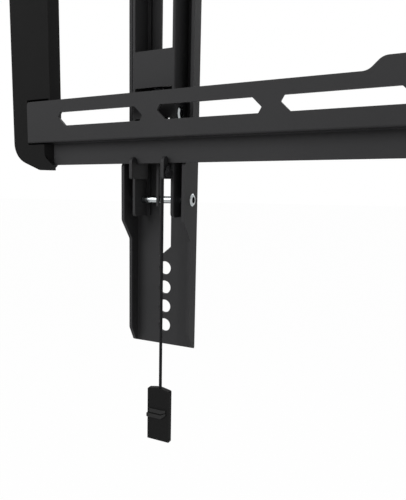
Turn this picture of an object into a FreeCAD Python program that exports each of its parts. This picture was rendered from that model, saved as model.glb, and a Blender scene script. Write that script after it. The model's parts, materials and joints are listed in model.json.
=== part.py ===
"""Fixed television wall mount with pull-cord latches.

Two folded rails screw to the wall and are tied at their ends by steel struts inside
plastic end caps.  Two arms fastened to the back of the television hang on the upper
rail's lip by a fixed hook, and a sprung latch at the bottom of each arm snaps round
the lower rail's lip.  Pulling the cord draws the latch down and frees the arm.

Frame: X along the rails, Y from the wall towards the television, Z up.
The origin lies on the wall plane at the centre of the rails.  Lengths are in mm.
"""
import FreeCAD, Part
import math
import os

Vector = FreeCAD.Vector
X_AXIS = Vector(1, 0, 0)
Y_AXIS = Vector(0, 1, 0)
Z_AXIS = Vector(0, 0, 1)

# Overall layout
wall_distance = 30.0        # wall to the back of the television
arm_spacing = 400.0         # between the two arms' centre lines
fit_gap = 0.3               # between neighbours that are laid or slid together
pin_gap = 0.05              # radial, between a pin and its hole
over = 1.0                  # how far a cutting tool reaches past what it cuts

# Rails
rail_length = 572.0
rail_sheet = 2.0
rail_bend = 0.6             # inside radius of the folds
rail_crease = 1.0           # outside radius, pressed nearly sharp
plate_height = 25.45
lip_height = 13.9           # fold to the lip's free edge
lip_stand = 8.0             # wall to the near face of the lip
plate_corner = 2.0
hump_rise = 6.1             # the plate is taller in the middle of the rail
hump_half = 77.6
hump_slope = 6.0
hump_round = 6.0

# Slots for the wall screws
slot_height = 8.2
slot_length = 59.6
slot_pitch = 69.0
slot_margin = 24.9          # rail end to the first slot
slots_per_half = 3
slot_drop = 7.55            # plate edge to the slot
middle_slot_length = 49.4
slot_slant = 5.2            # run of the slanted end
slot_nick = 3.0             # height of the blunted corner
slot_nick_run = 1.6
punch_round = 0.5           # corner radius of the punched slots

# End caps and the struts inside them
cap_width = 30.5
cap_overhang = 13.4         # past the end of the rail
cap_half = 100.8            # the frame's half height, which places both rails
lip_inset = 3.3             # end of the cap to the lip's free edge
cap_depth = 11.5
cap_wall = 2.0
cap_corner_run = 20.8
cap_corner_rise = 8.4
cap_corner_round = 14.0
cap_slant_round = 8.0
cap_relief = 5.4            # the face steps back beside the lip
cap_draft = 3.1             # the wall of that step leans out over its depth
cap_toe = 9.3               # tongue that reaches under the end of the lip
cap_toe_chamfer = 3.6
cap_ramp_run = 6.5          # the step back widens into the tongue
cap_ramp_rise = 5.5
cap_ramp_round = 6.0
cap_groove = 1.6            # open line above the plate's edge
cap_groove_margin = 1.3     # how far it reaches past the rail's end
rib_spacing = 42.0
rib_thickness = 1.8
snap_reach = 1.2
snap_length = 7.0
snap_height = 1.0
snap_offset = 21.0
strut_sheet = 2.0
strut_end_gap = 0.3         # the strut stops short of the lips' edges
rivet_radius = 2.0
rivet_head_radius = 4.0
rivet_head_height = 1.2
rivet_inset = 5.3           # rail end to the rivet

# Arm, the wide channel that bolts to the television
arm_half_height = 212.0
arm_width = 42.6
arm_sheet = 2.0
arm_bend = 1.0              # inside radius of the folds
arm_crease = 1.5            # outside radius
arm_flange = 10.3           # depth of the channel away from the hooks
ear_front = 10.0            # wall to the deep part of the flange
ear_reach = 34.1            # lip's edge to the far end of the deep part
ear_slant = 12.2
ear_top_gap = 1.1           # below the lip
arm_taper = 9.7
arm_foot = 0.8              # the folds' corners reach past the end of the web
arm_foot_front = 5.0        # television to the foot's near corner
arm_foot_back = 1.6
arm_foot_slope = 1.3
arm_fold_round = 3.0
arm_hole_radius = 4.25
arm_hole_pitch = 12.5
arm_hole_inset = 12.0       # arm's end to the last hole
arm_holes = 4
arm_slot_width = 8.1
arm_slot_slant = 6.8        # rise of the slanted end
arm_slot_inset = 7.0        # first hole's centre to the end of the slot
arm_slot_bar = 16.0
arm_slot_middle = 37.0

# Inner channel, which carries the hooks and the pins
inner_width = 28.0
inner_sheet = 2.0
inner_front = 10.5          # wall to its near face
inner_bend = 0.6
inner_crease = 1.0
inner_reach = 31.7          # lip's edge to the channel's end
inner_foot = 2.0
inner_end_round = 3.0
bridge_outer_rise = 25.7    # the two bridges, from the lip's edge to the mount's middle
gap_outer_rise = 37.5
gap_inner_rise = 43.1
bridge_inner_rise = 63.5

# Hook brackets: the sprung latch below and the fixed hook above
hook_sheet = 1.8
hook_side_gap = 0.65        # to the inner channel's leg
hook_front = 2.3
hook_tip_width = 5.2
hook_lap = 3.7              # how far the tip stands past the lip's edge
hook_foot = 9.1             # lip edge to the bracket's end
hook_back = 22.65
hook_rise = 39.0            # lip edge to the cheeks' other end
hook_shoulder_rise = 22.5
hook_web_rise = 20.5        # lip edge to the end of the web
hook_web_inset = 9.6        # cheeks' end to the web's free edge
hook_behind_lip = 0.8       # clear space between lip and cheek
hook_bridge_gap = 0.7       # clear space behind the bridge
hook_back_round = 3.0
hook_round = 3.5            # outer corner of the tip
hook_tip_round = 1.5        # its corner towards the lip
latch_travel = 5.0
tongue_width = 1.5
tongue_front = 16.9
tongue_start_rise = 3.5     # lip edge to the tongue's root
tongue_end_drop = 25.5
tongue_pin_gap = 0.1

# Pins and studs
pin_radius = 2.3
pin_bore_radius = 1.6
pin_head_radius = 3.75
pin_head_height = 1.0
pin_y = 20.7
pin_drop = 21.5             # lip's edge to the cross pin
stud_y = 17.8
stud_rise = 28.1            # lip's edge to the studs
stud_head_radius = 4.5
stud_head_height = 1.2
stud_inner_radius = 3.3
stud_inner_height = 1.0
stud_side_gap = 0.2         # between a cheek and the stud's inner head

# Latch spring and the tabs it hooks on
tab_width = 6.0
neck_shoulder = 1.0         # the latch's neck is wider than its ear
tab_thickness = 1.6
tab_hole_radius = 1.2
tab_edge = 1.4              # metal between the hole and the tab's free edge
upper_tab_rise = 62.5       # lip's edge to the fixed ear
lower_tab_rise = 34.5       # lip's edge to the latch's ear
spring_y = 17.0
wire_radius = 0.45
spring_radius = 2.6
spring_loop_radius = 2.0
spring_turns = 12

# Pull cord and its tab
cord_radius = 1.0
cord_hole_radius = 1.6
cord_hole_drop = 0.4        # the hole's centre below the cord's
cord_y = 7.0
cord_drop = 4.7             # lip's edge to the cord's hole
cord_turn = 2.0             # radius where the cord leaves its hole
cord_wall_gap = 0.2
cord_knot_stand = 1.2
grip_drop = 22.3            # arm's end to the top of the grip
grip_width = 15.0
grip_height = 34.6
grip_thickness = 3.4
grip_offset = 0.55          # cord to the grip's centre line
grip_crown = 1.3
grip_corner = 0.3
grip_socket = 3.0
rib_drop = 15.2             # grip's top to the upper thumb rib
rib_pitch = 3.4             # between the two ribs
rib_height = 2.5
rib_stand = 0.8
rib_inset = 1.6             # grip's left edge to the upper rib
rib_bulge = 0.4             # the lower rib stands past the grip's edge
rib_knee = 9.6              # grip's left edge to the bend
rib_end = 12.9              # grip's left edge to the rib's end
rib_tip = 1.4               # height of that end
upper_rib_rise = 1.5
lower_rib_rise = 3.0

# Derived planes and heights, from the mount's centre
lip_edge = cap_half - lip_inset
fold_z = lip_edge - lip_height
plate_edge = fold_z - plate_height
ear_low = lip_edge + ear_reach
inner_half_height = lip_edge + inner_reach
bridge_outer = lip_edge - bridge_outer_rise
bridge_gap_high = lip_edge - gap_outer_rise
bridge_gap_low = lip_edge - gap_inner_rise
bridge_inner = lip_edge - bridge_inner_rise
hook_top = lip_edge - hook_rise
hook_shoulder = lip_edge - hook_shoulder_rise
hook_web_stop = lip_edge - hook_web_rise
tongue_start = lip_edge - tongue_start_rise
tongue_end = lip_edge + tongue_end_drop
pin_z = lip_edge + pin_drop
stud_z = lip_edge - stud_rise
upper_tab_z = lip_edge - upper_tab_rise
lower_tab_z = lip_edge - lower_tab_rise
cord_z = lip_edge + cord_drop
grip_top = arm_half_height + grip_drop
arm_hole_last = arm_half_height - arm_hole_inset
arm_hole_first = arm_hole_last - (arm_holes - 1) * arm_hole_pitch
arm_slot_end = arm_hole_first - arm_slot_inset
lip_back = lip_stand + rail_sheet
arm_back = wall_distance - arm_sheet
cap_back = rail_sheet + cap_depth
rail_end = rail_length / 2
cap_outer = rail_end + cap_overhang
cap_inner = cap_outer - cap_width
leg_inside = inner_width / 2 - inner_sheet
hook_outside = leg_inside - hook_side_gap
hook_inside = hook_outside - hook_sheet
hook_web = hook_back - hook_sheet
cord_x = hook_inside - cord_radius - cord_wall_gap
flange_front = wall_distance - arm_flange


def outline(points, place):
    """Closed wire through (u, v) or (u, v, radius) corners; a radius rounds its corner."""
    count = len(points)
    edges = []
    starts = []
    ends = []
    arcs = []
    for i in range(count):
        u, v = points[i][:2]
        radius = points[i][2] if len(points[i]) > 2 else 0.0
        back = Vector(points[i - 1][0] - u, points[i - 1][1] - v, 0).normalize()
        ahead = Vector(points[(i + 1) % count][0] - u, points[(i + 1) % count][1] - v, 0).normalize()
        corner = Vector(u, v, 0)
        if radius <= 0:
            starts.append(corner)
            ends.append(corner)
            arcs.append(None)
            continue
        half = back.getAngle(ahead) / 2
        reach = radius / math.tan(half)
        centre = corner + (back + ahead).normalize() * (radius / math.sin(half))
        starts.append(corner + back * reach)
        ends.append(corner + ahead * reach)
        arcs.append(centre + (corner - centre).normalize() * radius)
    for i in range(count):
        if arcs[i] is not None:
            edges.append(Part.Arc(place(starts[i]), place(arcs[i]), place(ends[i])).toShape())
        following = (i + 1) % count
        if ends[i].distanceToPoint(starts[following]) > 1e-6:
            edges.append(Part.LineSegment(place(ends[i]), place(starts[following])).toShape())
    return Part.Wire(edges)


def facing_wall(points, y0, y1):
    """Prism whose (x, z) outline is seen from the wall, from depth y0 to y1."""
    wire = outline(points, lambda p: Vector(p.x, y0, p.y))
    return Part.Face(wire).extrude(Vector(0, y1 - y0, 0))


def side_on(points, x0, x1):
    """Prism whose (y, z) outline is seen from the side, from x0 to x1."""
    wire = outline(points, lambda p: Vector(x0, p.x, p.y))
    return Part.Face(wire).extrude(Vector(x1 - x0, 0, 0))


def upright(points, z0, z1):
    """Prism whose (x, y) outline is seen from above, from z0 to z1."""
    wire = outline(points, lambda p: Vector(p.x, p.y, z0))
    return Part.Face(wire).extrude(Vector(0, 0, z1 - z0))


def block(x0, x1, y0, y1, z0, z1):
    return Part.makeBox(x1 - x0, y1 - y0, z1 - z0, Vector(x0, y0, z0))


def rod(radius, start, direction, length):
    return Part.makeCylinder(radius, length, start, direction)


def turned(profile, y, z):
    """Solid of revolution about the X direction through (y, z); profile is (x, radius)."""
    points = [Vector(x, y + radius, z) for x, radius in profile]
    wire = Part.makePolygon(points + [points[0]])
    return Part.Face(wire).revolve(Vector(0, y, z), X_AXIS, 360)


def flip(shape):
    """The same piece on the upper half of the mount."""
    return shape.mirror(Vector(0, 0, 0), Z_AXIS)


def opposite(shape):
    """The same piece at the other end of the rails."""
    return shape.mirror(Vector(0, 0, 0), X_AXIS)


def slanted_slot(left, right, low, high):
    """Slot with slanted ends and blunted acute corners, as (x, z) corners."""
    return [
        (left, high - slot_nick, punch_round),
        (left + slot_nick_run, high, punch_round),
        (right - slot_slant, high, punch_round),
        (right, low + slot_nick, punch_round),
        (right - slot_nick_run, low, punch_round),
        (left + slot_slant, low, punch_round),
    ]


def rail_slots():
    """Left end, right end of every slot along the rail."""
    first = -rail_end + slot_margin
    left = [(first + i * slot_pitch, first + i * slot_pitch + slot_length) for i in range(slots_per_half)]
    gap = slot_pitch - slot_length
    left.append((-gap / 2 - middle_slot_length, -gap / 2))
    return left + [(-right, -start) for start, right in left]


def lower_rail():
    """Plate against the wall, a fold away from it and a lip that hangs down."""
    low = -fold_z
    section = [
        (0, -plate_edge + hump_rise),
        (0, low, rail_crease),
        (lip_stand, low, rail_bend),
        (lip_stand, -lip_edge),
        (lip_back, -lip_edge),
        (lip_back, low + rail_sheet, rail_crease),
        (rail_sheet, low + rail_sheet, rail_bend),
        (rail_sheet, -plate_edge + hump_rise),
    ]
    rail = side_on(section, -rail_end, rail_end)
    foot = hump_half + hump_slope
    crop_x, crop_z = lip_crop()
    view = [
        (-crop_x, -lip_edge),
        (-rail_end, -crop_z),
        (-rail_end, -plate_edge, plate_corner),
        (-foot, -plate_edge, hump_round),
        (-hump_half, -plate_edge + hump_rise, hump_round),
        (hump_half, -plate_edge + hump_rise, hump_round),
        (foot, -plate_edge, hump_round),
        (rail_end, -plate_edge, plate_corner),
        (rail_end, -crop_z),
        (crop_x, -lip_edge),
    ]
    rail = rail.common(facing_wall(view, -over, lip_back + over))
    high = -plate_edge - slot_drop
    cuts = []
    for left, right in rail_slots():
        corners = slanted_slot(left, right, high - slot_height, high)
        cuts.append(facing_wall(corners, -over, rail_sheet + over))
    for side in (-1, 1):
        start = Vector(side * (rail_end - rivet_inset), lip_stand - over, -rivet_z())
        cuts.append(rod(rivet_radius + pin_gap, start, Y_AXIS, rail_sheet + 2 * over))
    return rail.cut(Part.makeCompound(cuts))


def lip_crop():
    """Where the lip's cropped corner meets its edge (x) and the rail's end (z)."""
    slope = cap_corner_rise / cap_corner_run
    wall = (cap_wall + fit_gap) * math.hypot(1, slope)
    start = cap_half - cap_corner_rise - wall
    return cap_outer - (lip_edge - start) / slope, start + slope * (cap_outer - rail_end)


def rivet_z():
    """Height of the strut rivets: the middle of the lip's flat."""
    return (fold_z + lip_edge) / 2


def cap_face(inset):
    """Left cap seen from the wall, drawn in by inset all round."""
    shape = [
        (-cap_outer, -cap_half + cap_corner_rise, cap_corner_round),
        (-cap_outer + cap_corner_run, -cap_half, cap_slant_round),
        (-cap_inner, -cap_half, 1.0),
        (-cap_inner, cap_half, 1.0),
        (-cap_outer + cap_corner_run, cap_half, cap_slant_round),
        (-cap_outer, cap_half - cap_corner_rise, cap_corner_round),
    ]
    face = Part.Face(outline(shape, lambda p: Vector(p.x, 0, p.y)))
    if inset > 0:
        face = face.makeOffset2D(-inset)
    return face


def drawn(face, y0, y1):
    """Prism of an (x, z) face from depth y0 to y1."""
    moved = face.copy()
    moved.translate(Vector(0, y0, 0))
    return moved.extrude(Vector(0, y1 - y0, 0))


def left_cap():
    """Moulded tray, closed towards the wall, with ribs and snaps that hold the strut."""
    front = rail_sheet
    floor = front + cap_wall
    strut_front = lip_back
    tray = drawn(cap_face(0), front, cap_back)
    tray = tray.cut(drawn(cap_face(cap_wall), floor, cap_back + over))
    left = -cap_outer + cap_wall
    right = -cap_inner - cap_wall
    ribs = []
    for step in (-1, 0, 1):
        mid = step * rib_spacing
        edge = mid - rib_thickness / 2
        ribs.append(block(left, right, floor, strut_front, edge, edge + rib_thickness))
        if step == 0:
            continue
        low = step * snap_offset - snap_length / 2
        top = strut_front + strut_sheet + fit_gap
        ribs.append(block(left, left + snap_reach, top, top + snap_height, low, low + snap_length))
        ribs.append(block(right - snap_reach, right, top, top + snap_height, low, low + snap_length))
    tray = tray.fuse(ribs).removeSplitter()
    wall_x = -cap_inner - cap_relief
    groove_end = -rail_end - cap_groove_margin
    near = fold_z - rail_sheet - rail_bend - fit_gap
    under = fold_z + rail_bend + fit_gap
    far = lip_edge + fit_gap
    for half in (-1, 1):
        z0, z1 = sorted((half * near, half * (cap_half + over)))
        tray = tray.cut(block(wall_x, -cap_inner + over, front - over, cap_back + over, z0, z1))
        z0, z1 = sorted((half * near, half * under))
        slit = block(groove_end, wall_x + over, front - over, lip_back + fit_gap, z0, z1)
        z0, z1 = sorted((half * (plate_edge - cap_groove), half * plate_edge))
        groove = block(groove_end, -cap_inner - cap_wall / 2, front - over, floor + over, z0, z1)
        tray = tray.cut([slit, groove])
        wall_view = [
            (wall_x - cap_wall, half * under),
            (wall_x, half * under),
            (wall_x, half * far),
            (wall_x - cap_wall, half * far),
        ]
        ramp_view = [
            (wall_x - cap_wall, half * under),
            (wall_x, half * under),
            (wall_x, half * (far - cap_ramp_rise), cap_ramp_round),
            (wall_x + cap_ramp_run, half * far),
            (wall_x - cap_wall, half * far),
        ]
        toe_view = [
            (wall_x - over, half * far),
            (wall_x + cap_toe, half * far),
            (wall_x + cap_toe - cap_toe_chamfer, half * cap_half),
            (wall_x - over, half * cap_half),
        ]
        lean = Vector(cap_draft, lip_stand - fit_gap - front, 0)
        wall = Part.Face(outline(wall_view, lambda p: Vector(p.x, front, p.y))).extrude(lean)
        ramp = facing_wall(ramp_view, front, floor)
        toe = facing_wall(toe_view, front, floor)
        tray = tray.fuse([wall, ramp, toe])
    return tray.removeSplitter()


def left_strut():
    """Steel strip inside the cap that ties the two lips together."""
    strut = drawn(cap_face(cap_wall + fit_gap), lip_back, lip_back + strut_sheet)
    end = lip_edge - strut_end_gap
    strut = strut.common(block(-cap_outer, -cap_inner, lip_back - over, cap_back, -end, end))
    for half in (-1, 1):
        start = Vector(-rail_end + rivet_inset, lip_back - over, half * rivet_z())
        strut = strut.cut(rod(rivet_radius + pin_gap, start, Y_AXIS, strut_sheet + 2 * over))
    return strut


def strut_rivet(x, z):
    """Round-headed rivet through lip and strut."""
    profile = [
        (lip_stand, 0),
        (lip_stand - rivet_head_height, 0),
        (lip_stand - rivet_head_height, rivet_head_radius * 0.6),
        (lip_stand - rivet_head_height * 0.5, rivet_head_radius),
        (lip_stand, rivet_head_radius),
        (lip_stand, rivet_radius),
        (lip_back + strut_sheet, rivet_radius),
        (lip_back + strut_sheet, rivet_head_radius),
        (lip_back + strut_sheet + rivet_head_height * 0.5, rivet_head_radius),
        (lip_back + strut_sheet + rivet_head_height, rivet_head_radius * 0.6),
        (lip_back + strut_sheet + rivet_head_height, 0),
    ]
    points = [Vector(x + radius, y, z) for y, radius in profile]
    wire = Part.makePolygon(points + [points[0]])
    return Part.Face(wire).revolve(Vector(x, 0, z), Y_AXIS, 360)


def strut_rivets():
    """The four rivets, one at each corner of the rail frame."""
    x = rail_end - rivet_inset
    z = rivet_z()
    return Part.makeCompound([strut_rivet(i * x, k * z) for i in (-1, 1) for k in (-1, 1)])


def arm_channel():
    """Wide channel, open towards the wall, with deep ears round the hooks."""
    half = arm_width / 2
    section = [
        (-half, ear_front),
        (-half, wall_distance, arm_crease),
        (half, wall_distance, arm_crease),
        (half, ear_front),
        (half - arm_sheet, ear_front),
        (half - arm_sheet, arm_back, arm_bend),
        (-half + arm_sheet, arm_back, arm_bend),
        (-half + arm_sheet, ear_front),
    ]
    ear_high = lip_edge + ear_top_gap
    end = arm_half_height + arm_foot
    foot_back = wall_distance - arm_foot_back
    ear = [
        (foot_back, -arm_half_height),
        (foot_back, -end, 0.4),
        (wall_distance - arm_foot_front, -end + arm_foot_slope, 1.2),
        (flange_front, -arm_half_height + arm_taper, arm_fold_round),
        (flange_front, -ear_low - ear_slant, arm_fold_round),
        (ear_front, -ear_low, arm_fold_round),
        (ear_front, -ear_high, 1.0),
        (flange_front, -ear_high + ear_slant, arm_fold_round),
    ]
    side = ear + [(corner[0], -corner[1]) + corner[2:] for corner in reversed(ear)]
    side += [(wall_distance + over, arm_half_height), (wall_distance + over, -arm_half_height)]
    channel = upright(section, -end, end)
    channel = channel.common(side_on(side, -half - over, half + over))
    cuts = []
    for low, high in arm_slots():
        cuts.append(facing_wall(arm_slot(low, high), arm_back - over, wall_distance + over))
    for half_side in (-1, 1):
        for i in range(arm_holes):
            z = half_side * (arm_hole_last - i * arm_hole_pitch)
            start = Vector(0, arm_back - over, z)
            cuts.append(rod(arm_hole_radius, start, Y_AXIS, arm_sheet + 2 * over))
        start = Vector(-arm_width, pin_y, half_side * pin_z)
        cuts.append(rod(pin_radius + pin_gap, start, X_AXIS, 2 * arm_width))
    return channel.cut(Part.makeCompound(cuts))


def arm_slots():
    """Low and high end of each long slot in the arm."""
    inner = arm_slot_middle + arm_slot_bar
    return [(-arm_slot_end, -inner), (-arm_slot_middle, arm_slot_middle), (inner, arm_slot_end)]


def arm_slot(low, high):
    """Long upright slot whose ends both slant up to the right."""
    half = arm_slot_width / 2
    return [
        (-half, low, punch_round),
        (half, low + arm_slot_slant, punch_round),
        (half, high, punch_round),
        (-half, high - arm_slot_slant, punch_round),
    ]


def inner_channel():
    """Narrow channel with its back to the wall, cut away between two pairs of bridges."""
    half = inner_width / 2
    foot = leg_inside - inner_foot
    section = [
        (-half, inner_front, inner_crease),
        (-half, arm_back, inner_crease),
        (-foot, arm_back),
        (-foot, arm_back - inner_sheet),
        (-leg_inside, arm_back - inner_sheet, inner_bend),
        (-leg_inside, inner_front + inner_sheet, inner_bend),
        (leg_inside, inner_front + inner_sheet, inner_bend),
        (leg_inside, arm_back - inner_sheet, inner_bend),
        (foot, arm_back - inner_sheet),
        (foot, arm_back),
        (half, arm_back, inner_crease),
        (half, inner_front, inner_crease),
    ]
    channel = upright(section, -inner_half_height, inner_half_height)
    end = inner_half_height
    side = [
        (inner_front, -end, inner_end_round),
        (arm_back + over, -end),
        (arm_back + over, end),
        (inner_front, end, inner_end_round),
    ]
    channel = channel.common(side_on(side, -half - over, half + over))
    depth = inner_front + inner_sheet + inner_bend
    windows = [
        (-end - over, -bridge_outer),
        (-bridge_gap_high, -bridge_gap_low),
        (-bridge_inner, bridge_inner),
        (bridge_gap_low, bridge_gap_high),
        (bridge_outer, end + over),
    ]
    cuts = [block(-leg_inside, leg_inside, inner_front - over, depth, low, high) for low, high in windows]
    for half_side in (-1, 1):
        start = Vector(-inner_width, pin_y, half_side * pin_z)
        cuts.append(rod(pin_radius + pin_gap, start, X_AXIS, 2 * inner_width))
        start = Vector(-inner_width, stud_y, half_side * stud_z)
        cuts.append(rod(pin_radius + pin_gap, start, X_AXIS, 2 * inner_width))
    channel = channel.cut(Part.makeCompound(cuts))
    return channel.fuse(spring_tab(inner_front + inner_sheet / 2, 1, -upper_tab_z)).removeSplitter()


def spring_tab(root, towards, z):
    """Ear bent out of a sheet at depth root, with the hole that a spring loop passes."""
    edge = spring_y + towards * tab_edge / 2
    hole = edge - towards * (tab_edge + tab_hole_radius)
    low, high = sorted((root, edge))
    ear = block(-tab_width / 2, tab_width / 2, low, high, z - tab_thickness / 2, z + tab_thickness / 2)
    start = Vector(0, hole, z - tab_thickness)
    return ear.cut(rod(tab_hole_radius, start, Z_AXIS, 2 * tab_thickness))


def hook_bracket(stud_hole):
    """Two hooked cheeks with their stud holes, and the web behind them, on the lower rail."""
    tip = -lip_edge + hook_lap
    seat = -lip_edge - fit_gap
    end = -lip_edge - hook_foot
    behind = lip_back + hook_behind_lip
    shoulder = inner_front + inner_sheet + hook_bridge_gap
    cheek = [
        (hook_front, end, 1.0),
        (hook_front, tip, hook_round),
        (hook_front + hook_tip_width, tip, hook_tip_round),
        (hook_front + hook_tip_width, seat, 0.6),
        (behind, seat, 0.6),
        (behind, -hook_shoulder - 1.0, 1.0),
        (shoulder, -hook_shoulder, 1.0),
        (shoulder, -hook_top, 2.0),
        (hook_back, -hook_top, hook_back_round),
        (hook_back, end, 2.0),
    ]
    bracket = side_on(cheek, -hook_outside, -hook_inside)
    bracket = bracket.fuse(side_on(cheek, hook_inside, hook_outside))
    bracket = bracket.cut(side_on(stud_hole, -hook_outside - over, hook_outside + over))
    web = block(-hook_inside, hook_inside, hook_web, hook_back, end + hook_web_inset, -hook_web_stop)
    return bracket.fuse(web)


def stud_slot(travel):
    """Upright hole round a stud, longer than the stud by travel, as (y, z) corners."""
    reach = pin_radius + pin_gap
    round_end = reach * 0.98
    return [
        (stud_y - reach, -stud_z - reach, round_end),
        (stud_y + reach, -stud_z - reach, round_end),
        (stud_y + reach, -stud_z + travel + reach, round_end),
        (stud_y - reach, -stud_z + travel + reach, round_end),
    ]


def latch():
    """The sprung bracket: slots for its studs, an ear for the spring and a tongue."""
    body = hook_bracket(stud_slot(latch_travel))
    half = tab_width / 2 + neck_shoulder
    neck_top = -lower_tab_z + tab_thickness / 2
    neck = block(-half, half, hook_web, hook_back, -hook_web_stop, neck_top)
    ear = spring_tab(hook_back, -1, -lower_tab_z)
    half = tongue_width / 2
    tongue_back = pin_y - pin_radius - tongue_pin_gap
    web_edge = -lip_edge - hook_foot + hook_web_inset
    tongue = block(-half, half, tongue_front, tongue_back, -tongue_end, -tongue_start)
    root = block(-half, half, tongue_front, hook_web, web_edge, -tongue_start)
    body = body.fuse([neck, ear, tongue, root]).removeSplitter()
    start = Vector(0, cord_y, -cord_z - cord_hole_drop)
    hole = rod(cord_hole_radius, start, X_AXIS, hook_outside + over)
    return body.cut(hole)


def top_hook():
    """The fixed bracket that hangs the arm on the upper rail."""
    return flip(hook_bracket(stud_slot(0)).removeSplitter())


def cross_pin(z):
    """Tubular rivet through both channels, flared over the outer flanges."""
    end = arm_width / 2
    tip = end + pin_head_height
    half = [
        (end, pin_radius),
        (end, pin_head_radius),
        (end + pin_head_height * 0.25, pin_head_radius),
        (end + pin_head_height * 0.7, pin_head_radius * 0.84),
        (tip, pin_bore_radius + 0.5),
        (tip - 0.5, pin_bore_radius),
    ]
    profile = half + [(-x, radius) for x, radius in reversed(half)]
    return turned(profile, pin_y, z)


def studs(z):
    """Two headed studs, each through one leg of the inner channel and one cheek."""
    outer = inner_width / 2
    inner = hook_inside - stud_side_gap
    profile = [
        (inner - stud_inner_height, 0),
        (inner - stud_inner_height, stud_inner_radius),
        (inner, stud_inner_radius),
        (inner, pin_radius),
        (outer, pin_radius),
        (outer, stud_head_radius),
        (outer + stud_head_height * 0.5, stud_head_radius),
        (outer + stud_head_height, stud_head_radius * 0.7),
        (outer + stud_head_height, 0),
    ]
    right = turned(profile, stud_y, z)
    return Part.makeCompound([right, opposite(right)])


def latch_spring():
    """Extension spring between the two ears: a coil with a closed loop at each end."""
    reach = spring_loop_radius + wire_radius
    low = -lower_tab_z + reach
    high = -upper_tab_z - reach
    helix = Part.makeHelix((high - low) / spring_turns, high - low, spring_radius)
    section = Part.Wire(Part.makeCircle(wire_radius, Vector(spring_radius, 0, 0), Y_AXIS))
    coil = Part.Wire(helix).makePipeShell([section], True, True)
    coil.translate(Vector(0, spring_y, low))
    solid = coil
    for z, level in ((-lower_tab_z, low), (-upper_tab_z, high)):
        loop = Part.makeTorus(spring_loop_radius, wire_radius, Vector(0, spring_y, z), X_AXIS)
        leg = rod(wire_radius, Vector(-wire_radius, spring_y, level), X_AXIS, spring_radius + wire_radius)
        solid = solid.fuse([loop, leg])
    return solid


def cord_route():
    """Knot outside the right cheek, through its hole, then straight down to the grip."""
    knot = Vector(hook_outside + cord_knot_stand, cord_y, -cord_z)
    turn = Vector(cord_x, cord_y, -cord_z)
    end = Vector(cord_x, cord_y, -grip_top - grip_socket)
    return knot, turn, end


def pull_cord():
    """Round cord along its route, with one tangent arc at the hole."""
    knot, turn, end = cord_route()
    across = Vector(turn.x + cord_turn, turn.y, turn.z)
    down = Vector(turn.x, turn.y, turn.z - cord_turn)
    slack = cord_turn * (1 - math.sqrt(0.5))
    middle = Vector(turn.x + slack, turn.y, turn.z - slack)
    edges = [
        Part.LineSegment(knot, across).toShape(),
        Part.Arc(across, middle, down).toShape(),
        Part.LineSegment(down, end).toShape(),
    ]
    path = Part.Wire(edges)
    section = Part.Wire(Part.makeCircle(cord_radius, knot, X_AXIS))
    tube = path.makePipeShell([section], True, False)
    return tube, path.Length


def pull_grip():
    """Flat moulded tab at the end of the cord, arched at the top, with two bent thumb ribs."""
    middle = cord_x - grip_offset
    left = middle - grip_width / 2
    right = middle + grip_width / 2
    front = cord_y - grip_thickness / 2
    top = -grip_top
    bottom = top - grip_height
    face = [
        (left, bottom, grip_corner),
        (right, bottom, grip_corner),
        (right, top - grip_crown, 0.8),
        (middle, top + grip_crown * 0.2, grip_width),
        (left, top - grip_crown * 0.8, 0.8),
    ]
    grip = facing_wall(face, front, front + grip_thickness)
    high = top - rib_drop
    upper_rib = thumb_rib(left, left + rib_inset, high, upper_rib_rise)
    lower_rib = thumb_rib(left, left - rib_bulge, high - rib_pitch, lower_rib_rise)
    for rib in (upper_rib, lower_rib):
        grip = grip.fuse(facing_wall(rib, front - rib_stand, front + grip_thickness / 2))
    start = Vector(cord_x, cord_y, top - grip_socket)
    socket = rod(cord_radius + pin_gap, start, Z_AXIS, grip_socket + over)
    return grip.cut(socket).removeSplitter()


def thumb_rib(left, edge, level, rise):
    """Rib from edge to a bend and then up to the right, as (x, z) corners."""
    low = level - rib_height / 2
    high = level + rib_height / 2
    return [
        (edge, low, 0.3),
        (left + rib_knee, low, 1.0),
        (left + rib_end, low + rise, 0.3),
        (left + rib_end, low + rise + rib_tip, 0.3),
        (left + rib_knee, high, 1.0),
        (edge, high, 0.3),
    ]


def build():
    """Every named piece of the mount, in place."""
    pieces = {}
    rail = lower_rail()
    pieces["lower_rail"] = rail
    pieces["upper_rail"] = flip(rail)
    cap = left_cap()
    strut = left_strut()
    pieces["left_end_cap"] = cap
    pieces["right_end_cap"] = opposite(cap)
    pieces["left_strut"] = strut
    pieces["right_strut"] = opposite(strut)
    pieces["strut_rivets"] = strut_rivets()
    cord, cord_length = pull_cord()
    arm = {
        "arm_channel": arm_channel(),
        "inner_channel": inner_channel(),
        "top_hook": top_hook(),
        "latch": latch(),
        "latch_spring": latch_spring(),
        "latch_studs": studs(-stud_z),
        "hook_studs": studs(stud_z),
        "lower_pin": cross_pin(-pin_z),
        "upper_pin": cross_pin(pin_z),
        "pull_cord": cord,
        "pull_grip": pull_grip(),
    }
    for side, x in (("left", -arm_spacing / 2), ("right", arm_spacing / 2)):
        for name, shape in arm.items():
            placed = shape.copy()
            placed.translate(Vector(x, 0, 0))
            pieces[side + "_" + name] = placed
    expected = math.pi * cord_radius ** 2 * cord_length
    print("cord length", round(cord_length, 2), "turn radius", cord_turn)
    print("cord volume", round(cord.Volume, 3), "section times length", round(expected, 3))
    return pieces


os.makedirs("parts", exist_ok=True)
for piece_name, piece in build().items():
    if not piece.isValid():
        print("invalid", piece_name)
    print(piece_name, len(piece.Solids), round(piece.Volume, 1))
    piece.exportStep(os.path.join("parts", piece_name + ".step"))
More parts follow.
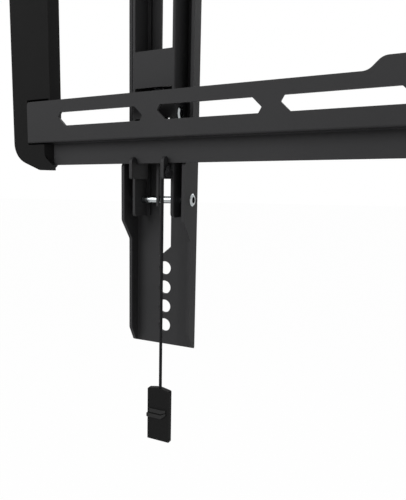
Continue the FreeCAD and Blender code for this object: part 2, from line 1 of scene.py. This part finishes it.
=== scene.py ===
"""Looks of the television wall mount: its coatings, mouldings, braided cords, knots and springs.

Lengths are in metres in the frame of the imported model: X along the rails, +Y from the wall to the
television, Z up. The picture looks at the wall side, from the right, at the lower rail's height.
"""

import json
import math

import bmesh
import bpy
import numpy as np
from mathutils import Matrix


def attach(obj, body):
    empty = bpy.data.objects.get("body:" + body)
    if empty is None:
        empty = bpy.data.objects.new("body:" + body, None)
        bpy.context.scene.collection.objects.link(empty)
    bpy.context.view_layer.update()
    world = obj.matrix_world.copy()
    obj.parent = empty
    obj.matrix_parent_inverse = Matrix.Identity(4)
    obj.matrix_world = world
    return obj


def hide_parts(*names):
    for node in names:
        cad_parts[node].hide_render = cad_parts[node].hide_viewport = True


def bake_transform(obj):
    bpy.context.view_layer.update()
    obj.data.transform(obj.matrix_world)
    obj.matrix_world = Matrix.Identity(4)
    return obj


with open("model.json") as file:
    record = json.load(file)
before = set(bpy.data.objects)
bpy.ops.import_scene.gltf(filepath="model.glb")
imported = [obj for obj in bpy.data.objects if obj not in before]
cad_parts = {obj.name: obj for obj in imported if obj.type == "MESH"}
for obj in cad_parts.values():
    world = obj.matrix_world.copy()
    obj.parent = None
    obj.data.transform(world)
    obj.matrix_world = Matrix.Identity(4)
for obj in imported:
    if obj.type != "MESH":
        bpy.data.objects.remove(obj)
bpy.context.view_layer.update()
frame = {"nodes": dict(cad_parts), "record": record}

mm = 0.001
sides = {"left": -0.2, "right": 0.2}    # the arms' centre lines

# Pull cord: the knot outside the latch's cheek, its hole, then straight down to the grip
cord_diameter = 2.0 * mm
cord_route = ((12.55, 7.0, -102.2), (8.35, 7.0, -102.2), (8.35, 7.0, -110.6), (8.35, 7.0, -237.3))
braid_lay = 6.0 * mm                    # length in which a strand goes once round
braid_each_way = 4
strand_thick = 0.14 * mm                # half thickness and half width of a flat strand
strand_wide = 0.38 * mm
weave_depth = 0.08 * mm                 # swing of a strand over and under the others
rows_per_crossing = 4
strand_sides = 6
core_sides = 8
route_steps = 24                        # points between two control points of the route

# Stopper knot
knot_centre = (13.05, 5.6, -102.6)
knot_scale = 0.74 * mm
knot_flat = 0.9                         # pulled flat against the cheek
knot_from = 0.12                        # angles at which the cord enters and leaves the knot
knot_to = 2 * math.pi - 0.35
knot_points = 140
knot_tail = 3.4 * mm
tail_points = 14
tail_fall = (0.1, -0.1, -0.9)           # which way the tail droops, and how strongly
bead_radii = (0.92 * mm, 0.92 * mm, 0.805 * mm)     # melted end of the tail

# Latch spring
spring_y = 17.0 * mm
spring_fixed_end = -35.0 * mm
spring_latch_end = -63.0 * mm
spring_radius = 2.6 * mm
spring_wire = 0.45 * mm
spring_loop = 2.0 * mm
spring_turns = 12
spring_step = math.radians(20)
loop_from = math.radians(20)            # the loops' open angle, where the wire leaves for the coil
loop_to = math.radians(350)
wire_sides = 10

# Cross pins, which are tubes
pin_y = 20.7 * mm
pin_z = 119.0 * mm
# Painted shade: within this radius of a cross pin's axis, the plating keeps only the small share
# below of its brightness
bore_shade_radius = 1.95 * mm                   # the bore with its rolled edge
bore_shade_edge = 0.1 * mm
bore_shade_share = 0.02                       # of the plating's brightness, left inside the bore

# Grip: its face is at 5.3 mm; its ribs' painted highlight and its wall's painted shade take over
# between these depths
grip_rib_highlight = (5.0 * mm, 4.7 * mm)
grip_wall_shade = (5.35 * mm, 5.45 * mm)

# Camera, fitted to the photograph
camera_place = (-0.046, -0.2811, -0.1084)
camera_down = 9.985                     # degrees below level
camera_left = 30.17                     # degrees to the left of straight at the wall side
image_height = 500.0                    # pixels of the photograph
focal_pixels = 545.0
centre_shift = (73.0, 28.0)             # pixels from the lens axis to the picture's middle
sensor = 36.0

# Noise values run from 0 to 1, and most lie between these two
noise_low = 0.3
noise_high = 0.7

# Studio
floor_drop = 0.9                        # floor below the mount's middle
floor_size = 40.0
floor_glow = 0.985                      # glowing share of the floor; the rest takes the shadow
world_light = 0.21
lamps = {                               # place, point aimed at, side of the square, watts
    "key_light": ((-0.9, -1.7, 0.85), (0.0, 0.0, 0.0), 1.4, 27.0),
    "fill_light": ((1.6, -1.2, 0.4), (0.0, 0.0, -0.1), 1.8, 0.9),
    "back_light": ((-0.4, 1.8, 1.0), (0.0, 0.0, 0.0), 1.6, 15.0),
}


def linear(code):
    """Linear red, green, blue and alpha of a hex colour in sRGB: a power curve, straight near 0."""
    parts = np.array([int(code[i:i + 2], 16) for i in (1, 3, 5)]) / 255
    curve = np.where(parts <= 0.04045, parts / 12.92, ((parts + 0.055) / 1.055) ** 2.4)
    return (*curve.tolist(), 1.0)


def add(tree, kind, inputs=None, **options):
    """One node, with its options, and each input fed by an output or set to a value."""
    node = tree.nodes.new(kind)
    for name, value in options.items():
        setattr(node, name, value)
    for name, value in (inputs or {}).items():
        if isinstance(value, bpy.types.NodeSocket):
            tree.links.new(value, node.inputs[name])
        else:
            node.inputs[name].default_value = value
    return node


def new_material(name):
    """An empty material, and the node output that gives a point's place on the object."""
    material = bpy.data.materials.new(name)
    material.use_nodes = True
    material.node_tree.nodes.clear()
    return material, add(material.node_tree, "ShaderNodeTexCoord").outputs["Object"]


def pattern(tree, place, size, detail=2.0, roughness=0.5):
    """Value of a noise whose features are about size across."""
    inputs = {"Vector": place, "Scale": 1 / size, "Detail": detail, "Roughness": roughness}
    return add(tree, "ShaderNodeTexNoise", inputs).outputs["Fac"]


def spread(tree, value, low, high):
    """The middle of a noise, stretched from low to high."""
    return add(tree, "ShaderNodeMapRange", {
        "Value": value, "From Min": noise_low, "From Max": noise_high,
        "To Min": low, "To Max": high}).outputs["Result"]


def tone(tree, value, dark, light):
    """A colour between two hex colours, by the middle of a noise."""
    ramp = add(tree, "ShaderNodeValToRGB", {"Fac": value})
    ends = zip(ramp.color_ramp.elements, (noise_low, noise_high), (dark, light))
    for element, position, code in ends:
        element.position = position
        element.color = linear(code)
    return ramp.outputs["Color"]


def surface(tree, inputs):
    """The shader and the material's output."""
    shader = add(tree, "ShaderNodeBsdfPrincipled", inputs)
    add(tree, "ShaderNodeOutputMaterial", {"Surface": shader.outputs["BSDF"]})


def powder_coat(name, dark, light, sheen, roughness):
    """Black polyester powder baked on steel: a dull skin of fused grains over a faint orange peel.

    The film is a little uneven over some 35 mm, its peel waves are 2.2 mm and its grains 0.45 mm.
    """
    material, place = new_material(name)
    tree = material.node_tree
    cloud = pattern(tree, place, 35 * mm, 3.0)
    peel = pattern(tree, place, 2.2 * mm, 1.0)
    grain = pattern(tree, place, 0.45 * mm, 2.0, 0.6)
    low = add(tree, "ShaderNodeBump", {"Height": peel, "Strength": 0.35, "Distance": 0.04 * mm})
    fine = add(tree, "ShaderNodeBump", {
        "Height": grain, "Strength": 0.5, "Distance": 0.02 * mm, "Normal": low.outputs["Normal"]})
    surface(tree, {
        "Base Color": tone(tree, cloud, dark, light),
        "Roughness": spread(tree, grain, roughness - 0.05, roughness + 0.05),
        "Specular IOR Level": sheen,
        "Normal": fine.outputs["Normal"],
    })
    return material


def spark_eroded(tree, place, colour, sheen, roughness, grit):
    """The skin that a spark-eroded mould leaves on ABS: finely pitted, with a soft low gloss."""
    pits = pattern(tree, place, grit, 3.0, 0.65)
    bump = add(tree, "ShaderNodeBump", {"Height": pits, "Strength": 0.4, "Distance": 0.015 * mm})
    surface(tree, {
        "Base Color": colour,
        "Roughness": spread(tree, pits, roughness - 0.06, roughness + 0.06),
        "Specular IOR Level": sheen,
        "Normal": bump.outputs["Normal"],
    })


def matt_cap(name, dark, light, sheen, roughness, grit):
    """Black ABS cap: matt, and faintly clouded over some 18 mm where the melt cooled unevenly."""
    material, place = new_material(name)
    tree = material.node_tree
    colour = tone(tree, pattern(tree, place, 18 * mm, 2.0), dark, light)
    spark_eroded(tree, place, colour, sheen, roughness, grit)
    return material


def grip_with_painted_light(name, face, rib, wall, sheen, roughness, grit):
    """Black ABS tab: satin face, ribs lighter as a painted highlight, and a wall darker as painted
    shade.

    The depth of a point tells the three apart, because the ribs stand proud of the face.
    """
    material, place = new_material(name)
    tree = material.node_tree
    depth = add(tree, "ShaderNodeSeparateXYZ", {"Vector": place}).outputs["Y"]
    colour = linear(face)
    # The ribs take a painted highlight and the wall a painted shade, by a point's depth
    for (start, end), code in ((grip_rib_highlight, rib), (grip_wall_shade, wall)):
        share = add(tree, "ShaderNodeMapRange", {
            "Value": depth, "From Min": start, "From Max": end})
        mixed = {0: share.outputs["Result"], 6: colour, 7: linear(code)}
        colour = add(tree, "ShaderNodeMix", mixed, data_type="RGBA").outputs[2]
    spark_eroded(tree, place, colour, sheen, roughness, grit)
    return material


def painted_bore_shade(tree, place):
    """Painted shade in the cross pins' bores: share of the plating's brightness that a point keeps.

    It grows from almost nothing to 1 where the distance from the nearer pin's axis passes the
    mouth's radius, which is less than the pin's own.
    """
    vector = "ShaderNodeVectorMath"
    centre = (0.0, pin_y, pin_z)
    across = (0.0, 1.0, 1.0)
    folded = add(tree, vector, {0: place}, operation="ABSOLUTE")
    away = add(tree, vector, {0: folded.outputs[0], 1: centre}, operation="SUBTRACT")
    flat = add(tree, vector, {0: away.outputs[0], 1: across}, operation="MULTIPLY")
    distance = add(tree, vector, {0: flat.outputs[0]}, operation="LENGTH")
    return add(tree, "ShaderNodeMapRange", {
        "Value": distance.outputs["Value"], "From Min": bore_shade_radius,
        "From Max": bore_shade_radius + bore_shade_edge, "To Min": bore_shade_share}).outputs["Result"]


def bright_zinc(name, blue, warm, roughness):
    """Zinc plating with a clear passivation: bright, faintly blue, clouded where it was tumbled."""
    material, place = new_material(name)
    tree = material.node_tree
    cloud = pattern(tree, place, 3.0 * mm, 3.0)
    tumble = pattern(tree, place, 0.5 * mm, 2.0)
    bump = add(tree, "ShaderNodeBump", {"Height": tumble, "Strength": 0.25, "Distance": 0.01 * mm})
    # The cross pins' bores are painted in shade: the colour is scaled down to a small share there
    plating = {0: tone(tree, cloud, blue, warm), "Scale": painted_bore_shade(tree, place)}
    surface(tree, {
        "Base Color": add(tree, "ShaderNodeVectorMath", plating, operation="SCALE").outputs[0],
        "Metallic": 1.0,
        "Roughness": spread(tree, cloud, roughness - 0.06, roughness + 0.08),
        "Normal": bump.outputs["Normal"],
    })
    return material


def phosphated_wire(name):
    """Hard-drawn spring wire with a black phosphate skin: dark grey metal with a dry gloss."""
    material, place = new_material(name)
    tree = material.node_tree
    crystals = pattern(tree, place, 0.2 * mm, 2.0)
    bump = add(tree, "ShaderNodeBump", {
        "Height": crystals, "Strength": 0.3, "Distance": 0.006 * mm})
    surface(tree, {
        "Base Color": tone(tree, crystals, "#2a2b2d", "#3b3d40"),
        "Metallic": 0.7,
        "Roughness": spread(tree, crystals, 0.38, 0.55),
        "Normal": bump.outputs["Normal"],
    })
    return material


def polyester_yarn(name):
    """Black polyester braid: soft, fibrous strands with a weak sheen along their edges."""
    material, place = new_material(name)
    tree = material.node_tree
    fibre = pattern(tree, place, 0.12 * mm, 2.0)
    bump = add(tree, "ShaderNodeBump", {"Height": fibre, "Strength": 0.4, "Distance": 0.02 * mm})
    surface(tree, {
        "Base Color": tone(tree, fibre, "#0a0a0c", "#17171a"),
        "Roughness": 0.75,
        "Specular IOR Level": 0.2,
        "Sheen Weight": 0.1,
        "Sheen Roughness": 0.4,
        "Normal": bump.outputs["Normal"],
    })
    return material


def grid_faces(rows, columns):
    """Quads between neighbouring points of a grid whose columns close into a ring."""
    i = np.arange(rows - 1)[:, None]
    j = np.arange(columns)[None, :]
    after = (j + 1) % columns
    here, ahead = i * columns, (i + 1) * columns
    return np.stack((here + j, here + after, ahead + after, ahead + j), axis=-1).reshape(-1, 4)


def joined(shells):
    """Several (points, faces) as one list of points and one of faces."""
    starts = np.cumsum([0] + [len(points) for points, _ in shells[:-1]])
    points = np.concatenate([points for points, _ in shells])
    faces = np.concatenate([faces + start for (_, faces), start in zip(shells, starts)])
    return points, faces


def piece(name, shells, material):
    """A smooth closed mesh from its shells, with poles merged and faces outward."""
    points, faces = joined(shells)
    mesh = bpy.data.meshes.new(name)
    mesh.from_pydata(points.tolist(), [], faces.tolist())
    work = bmesh.new()
    work.from_mesh(mesh)
    bmesh.ops.remove_doubles(work, verts=work.verts, dist=1e-7)
    bmesh.ops.recalc_face_normals(work, faces=work.faces)
    work.to_mesh(mesh)
    work.free()
    mesh.shade_smooth()
    mesh.materials.append(material)
    made = bpy.data.objects.new(name, mesh)
    bpy.context.scene.collection.objects.link(made)
    return made


def travelled(line):
    """Distance along a line at each of its points."""
    steps = np.linalg.norm(np.diff(line, axis=0), axis=1)
    return np.concatenate([[0.0], np.cumsum(steps)])


def respaced(line, count):
    """The same line with count points at equal distances."""
    along = travelled(line)
    at = np.linspace(0.0, along[-1], count)
    return np.stack([np.interp(at, along, line[:, axis]) for axis in range(3)], axis=1)


def unit(vectors):
    """Vectors divided by their lengths."""
    return vectors / np.linalg.norm(vectors, axis=-1, keepdims=True)


def carried(line):
    """Direction, side and up at each point of a line; the side turns only as the line bends.

    Each side is the one before it, less its part along the new direction.
    """
    along = unit(np.gradient(line, axis=0))
    first = np.cross(along[0], (0.0, 1.0, 0.0))
    if np.linalg.norm(first) < 0.1:
        first = np.cross(along[0], (1.0, 0.0, 0.0))
    across = [first / np.linalg.norm(first)]
    for direction in along[1:]:
        turned = across[-1] - direction * (across[-1] @ direction)
        across.append(turned / np.linalg.norm(turned))
    across = np.array(across)
    return along, across, np.cross(along, across)


def tube(line, radii, columns):
    """Tube: line(s) + radius(s) times (cos a along the side + sin a along the up), ends shut."""
    _, across, up = carried(line)
    angle = np.linspace(0, 2 * math.pi, columns, endpoint=False)[None, :, None]
    ring = across[:, None] * np.cos(angle) + up[:, None] * np.sin(angle)
    body = line[:, None] + ring * np.broadcast_to(radii, len(line))[:, None, None]
    ends = [np.repeat(line[k][None, None], columns, axis=1) for k in (0, -1)]
    points = np.concatenate([ends[0], body, ends[1]])
    return points.reshape(-1, 3), grid_faces(len(points), columns)


def ball(centre, radii, rows=10, columns=14):
    """Ellipsoid: centre + radii times (sin v cos u, sin v sin u, cos v)."""
    v = np.linspace(0, math.pi, rows)[:, None]
    u = np.linspace(0, 2 * math.pi, columns, endpoint=False)[None, :]
    x = np.sin(v) * np.cos(u)
    y = np.sin(v) * np.sin(u)
    z = np.cos(v) + 0 * u
    points = np.stack([x, y, z], axis=-1) * np.array(radii) + np.array(centre)
    return points.reshape(-1, 3), grid_faces(rows, columns)


def braided(line, radius):
    """Flat strands braided round a core, as the shells of one mesh.

    A strand turns round the line once in each lay, four strands one way and four the other. Its
    distance from the line swings by the weave depth, half a swing for each strand that it meets,
    so it goes over one and under the next. Its section is an ellipse that lies flat on the cord.
    """
    per_turn = 2 * braid_each_way * rows_per_crossing
    count = int(travelled(line)[-1] / braid_lay * per_turn)
    line = respaced(line, count)
    along, across, up = carried(line)
    turn = 2 * math.pi * travelled(line) / braid_lay
    ways = np.repeat((1.0, -1.0), braid_each_way)[:, None]
    starts = np.tile(np.arange(braid_each_way), 2)[:, None] * (2 * math.pi / braid_each_way)
    angle = (ways * turn + starts)[..., None]
    middle = radius - strand_thick - weave_depth
    reach = (middle + ways * weave_depth * np.cos(braid_each_way * turn))[..., None]
    outward = across * np.cos(angle) + up * np.sin(angle)
    around = up * np.cos(angle) - across * np.sin(angle)
    slope = 2 * math.pi * middle / braid_lay
    forward = unit(along + ways[..., None] * slope * around)
    wide = np.cross(forward, outward)
    ends = np.ones(count)
    ends[[0, -1]] = 0.0
    a = np.linspace(0, 2 * math.pi, strand_sides, endpoint=False)[:, None]
    section = (outward[:, :, None] * (strand_thick * np.cos(a))
               + wide[:, :, None] * (strand_wide * np.sin(a)))
    centre = (line + outward * reach)[:, :, None]
    points = centre + section * ends[None, :, None, None]
    faces = grid_faces(count, strand_sides)
    shells = [(strand.reshape(-1, 3), faces) for strand in points]
    shells.append(tube(line[::rows_per_crossing], middle, core_sides))
    return shells


def nurbs_line(points):
    """Points along the smooth line that a route's control points give."""
    curve = bpy.data.curves.new("route", "CURVE")
    curve.dimensions = "3D"
    curve.resolution_u = route_steps
    spline = curve.splines.new("NURBS")
    spline.points.add(len(points) - 1)
    for point, place in zip(spline.points, points):
        point.co = (*place, 1.0)
    spline.order_u = 3
    spline.use_endpoint_u = True
    holder = bpy.data.objects.new("route", curve)
    mesh = bpy.data.meshes.new_from_object(holder)
    places = np.empty(3 * len(mesh.vertices))
    mesh.vertices.foreach_get("co", places)
    bpy.data.meshes.remove(mesh)
    bpy.data.curves.remove(curve)
    return places.reshape(-1, 3)


def smoothed(points):
    """Uniform cubic B-spline of a dense run of points, four steps to each of them."""
    t = np.arange(4)[:, None, None] / 4
    a, b, c, d = (points[k:len(points) - 3 + k][None] for k in range(4))
    line = ((1 - t) ** 3 * a + (3 * t ** 3 - 6 * t ** 2 + 4) * b
            + (3 * (t - t ** 3 + t ** 2) + 1) * c + t ** 3 * d) / 6
    return line.transpose(1, 0, 2).reshape(-1, 3)


def pull_cord(side, middle, material):
    """The braided cord, from its knot through the latch's cheek to the grip."""
    route = [(middle + x * mm, y * mm, z * mm) for x, y, z in cord_route]
    line = nurbs_line(route)
    cord = piece(side + "_braided_cord", braided(line, cord_diameter / 2), material)
    knot = stopper_knot(side, middle, material)
    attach(cord, side + "_latch")
    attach(knot, side + "_latch")
    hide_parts(side + "_pull_cord")


def stopper_knot(side, middle, material):
    """Overhand knot against the cheek: a three-lobed ring that crosses itself, with a sealed tail.

    At angle t its distance from the centre is 2 + cos 3t, it goes round twice as fast as t, and it
    stands off by sin 3t, a little flattened. The tail leaves straight on and droops with the square
    of the way along it.
    """
    t = np.linspace(knot_from, knot_to, knot_points)
    reach = 2 + np.cos(3 * t)
    ring = np.stack([
        knot_flat * np.sin(3 * t), reach * np.cos(2 * t), reach * np.sin(2 * t)], axis=1)
    centre = np.array((middle, 0.0, 0.0)) + np.array(knot_centre) * mm
    ring = ring * knot_scale + centre
    heading = unit(ring[-1] - ring[-2])
    u = np.linspace(0, 1, tail_points)[1:, None]
    tail = ring[-1] + knot_tail * (heading * (u - u ** 2 / 2) + np.array(tail_fall) * u ** 2 / 2)
    line = np.concatenate([ring, tail])
    shells = braided(line, cord_diameter / 2)
    shells.append(ball(line[-1], bead_radii))
    return piece(side + "_cord_knot", shells, material)


def latch_spring(side, middle, material):
    """Extension spring: a coil, whose ends rise to the axis and close into a loop each.

    The coil goes round the axis at a steady rise. Each loop stands in the plane through the axis.
    """
    reach = spring_loop + spring_wire
    low = spring_latch_end + reach + spring_wire
    high = spring_fixed_end - reach - spring_wire
    turn = np.arange(0, 2 * math.pi * spring_turns + spring_step / 2, spring_step)
    coil = np.stack([spring_radius * np.cos(turn), spring_radius * np.sin(turn),
                     low + (high - low) * turn / turn[-1]], axis=1)
    around = np.arange(loop_from, loop_to, spring_step)[:, None]
    loops = []
    for centre, way in ((spring_latch_end, 1), (spring_fixed_end, -1)):
        ring = np.hstack([0 * around, spring_loop * np.sin(around),
                          centre + way * spring_loop * np.cos(around)])
        loops.append(ring)
    line = smoothed(np.concatenate([loops[0][::-1], coil, loops[1]]))
    line = line + np.array((middle, spring_y, 0.0))
    wire = tube(line, spring_wire, wire_sides)
    spring = piece(side + "_extension_spring", [wire], material)
    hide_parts(side + "_latch_spring")
    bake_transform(spring)


def finish_nodes(finishes):
    """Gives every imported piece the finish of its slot."""
    slots = {part["node"]: part["material_slot"] for part in frame["record"]["subparts"]}
    for name, node in frame["nodes"].items():
        node.data.materials.clear()
        node.data.materials.append(finishes[slots[name]])


def any_ray(tree, kinds):
    """1 for a ray of one of the kinds, and 0 for any other."""
    path = add(tree, "ShaderNodeLightPath").outputs
    found = path[kinds[0]]
    for kind in kinds[1:]:
        larger = add(tree, "ShaderNodeMath", {0: found, 1: path[kind]}, operation="MAXIMUM")
        found = larger.outputs[0]
    return found


def stage_material():
    """Pale floor: white to the camera and in reflections, and it still takes the mount's shadow."""
    material, _ = new_material("pale_floor")
    tree = material.node_tree
    paint = add(tree, "ShaderNodeBsdfDiffuse", {"Color": linear("#f0f0f0")})
    glow = add(tree, "ShaderNodeEmission", {"Color": linear("#ffffff"), "Strength": 1.0})
    seen = any_ray(tree, ("Is Camera Ray", "Is Glossy Ray"))
    share = add(tree, "ShaderNodeMath", {0: seen, 1: floor_glow}, operation="MULTIPLY")
    mix = add(tree, "ShaderNodeMixShader", {
        0: share.outputs[0], 1: paint.outputs[0], 2: glow.outputs[0]})
    add(tree, "ShaderNodeOutputMaterial", {"Surface": mix.outputs[0]})
    return material


def floor():
    """A wide flat floor under the mount."""
    half = floor_size / 2
    mesh = bpy.data.meshes.new("studio_floor")
    corners = [(-half, -half), (half, -half), (half, half), (-half, half)]
    mesh.from_pydata([(x, y, -floor_drop) for x, y in corners], [], [(0, 1, 2, 3)])
    mesh.materials.append(stage_material())
    made = bpy.data.objects.new("studio_floor", mesh)
    bpy.context.scene.collection.objects.link(made)


def studio_world():
    """White round the object for the camera, reflections and clear parts, and softer as light."""
    world = bpy.data.worlds.new("studio")
    bpy.context.scene.world = world
    world.use_nodes = True
    tree = world.node_tree
    tree.nodes.clear()
    seen = any_ray(tree, ("Is Camera Ray", "Is Glossy Ray", "Is Transmission Ray"))
    light = add(tree, "ShaderNodeBackground", {"Color": linear("#ffffff"), "Strength": world_light})
    white = add(tree, "ShaderNodeBackground", {"Color": linear("#ffffff"), "Strength": 1.0})
    mix = add(tree, "ShaderNodeMixShader", {0: seen, 1: light.outputs[0], 2: white.outputs[0]})
    add(tree, "ShaderNodeOutputWorld", {"Surface": mix.outputs[0]})


def softbox(name, place, target, size, power):
    """A square area lamp at place that shines at target."""
    lamp = bpy.data.lights.new(name, "AREA")
    lamp.size = size
    lamp.energy = power
    made = bpy.data.objects.new(name, lamp)
    made.location = place
    towards = np.array(target) - np.array(place)
    made.rotation_euler = (
        math.acos(-towards[2] / np.linalg.norm(towards)), 0.0, math.atan2(-towards[0], towards[1]))
    bpy.context.scene.collection.objects.link(made)


def camera():
    """The photograph's camera: its frame is cut from a wider one, so its axis is off the middle."""
    data = bpy.data.cameras.new("camera")
    data.sensor_width = sensor
    data.lens = sensor * focal_pixels / image_height
    data.shift_x = centre_shift[0] / image_height
    data.shift_y = centre_shift[1] / image_height
    data.clip_start = 0.01
    made = bpy.data.objects.new("camera", data)
    made.location = camera_place
    made.rotation_euler = (math.radians(90 - camera_down), 0.0, math.radians(camera_left))
    bpy.context.scene.collection.objects.link(made)
    bpy.context.scene.camera = made


finishes = {
    "rail_coating": powder_coat("powder_coated_rail", "#363637", "#383839", 0.12, 0.55),
    "arm_coating": powder_coat("powder_coated_arm", "#3b3b3c", "#3d3d3e", 0.08, 0.55),
    "hook_coating": powder_coat("powder_coated_hook", "#333334", "#363637", 0.15, 0.5),
    "strut_steel": powder_coat("powder_coated_strut", "#313132", "#333334", 0.12, 0.6),
    "cap_plastic": matt_cap("matt_abs_cap", "#1d1d1d", "#1e1e1e", 0.05, 0.62, 0.35 * mm),
    # 373737 is a painted highlight on the grip's ribs, #050505 a painted shade on its wall
    "grip_plastic": grip_with_painted_light(
        "satin_abs_grip", "#222222", "#373737", "#050505", 0.03, 0.5, 0.25 * mm),
    "zinc_pins": bright_zinc("bright_zinc_pin", "#a2a8aa", "#b0b3b4", 0.17),
    "zinc_rivets": bright_zinc("bright_zinc_rivet", "#d4dadc", "#e2e2de", 0.28),
    "spring_steel": phosphated_wire("phosphated_spring_wire"),
    "cord_braid": polyester_yarn("black_polyester_braid"),
}

finish_nodes(finishes)
for side, middle in sides.items():
    pull_cord(side, middle, finishes["cord_braid"])
    latch_spring(side, middle, finishes["spring_steel"])

floor()
studio_world()
for name, (place, target, size, power) in lamps.items():
    softbox(name, place, target, size, power)
camera()

bpy.context.scene.view_settings.view_transform = "Standard"
